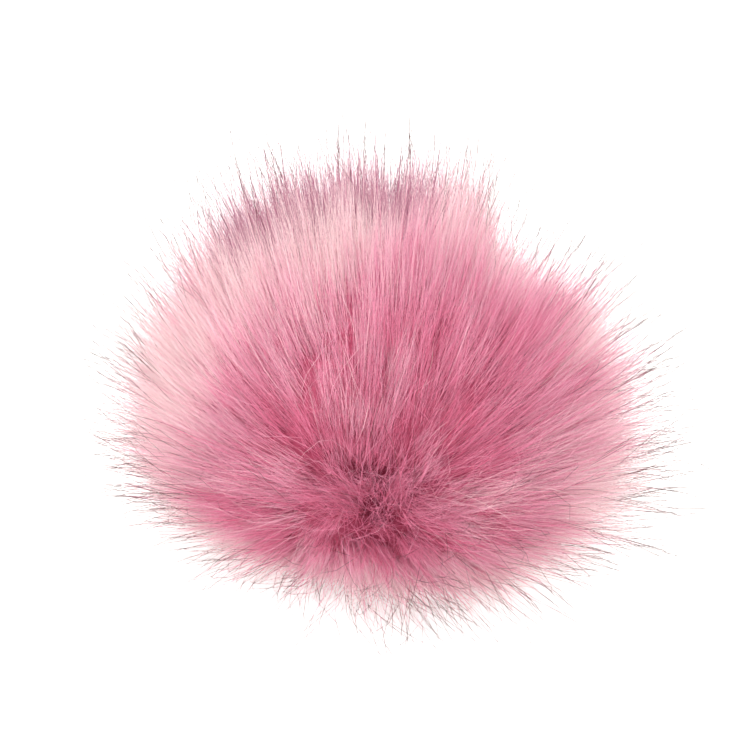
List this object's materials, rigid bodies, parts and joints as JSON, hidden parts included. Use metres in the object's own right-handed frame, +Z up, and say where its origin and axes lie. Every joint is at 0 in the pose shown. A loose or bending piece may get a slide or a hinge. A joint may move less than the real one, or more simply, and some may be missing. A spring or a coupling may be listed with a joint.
{
  "type": "faux fur pompom",
  "caption": "Round long-pile faux-fur pompom, a gathered ball of fur with pile standing out all round and a small flat spot where it rests.",
  "frame": {"origin": "on the table, under the middle of the pompom's outline", "axes": "+Z up off the table, -Y towards the side where the pile points straight out, +X to that side's right"},
  "size_m": [0.1448, 0.1166, 0.0932],
  "materials": {
    "fur": "long soft pile, dusty rose, paler at the tips and darker between the locks"
  },
  "bodies": {
    "root": {"gathered_fur_ball": "fur"}
  },
  "joints": []
}
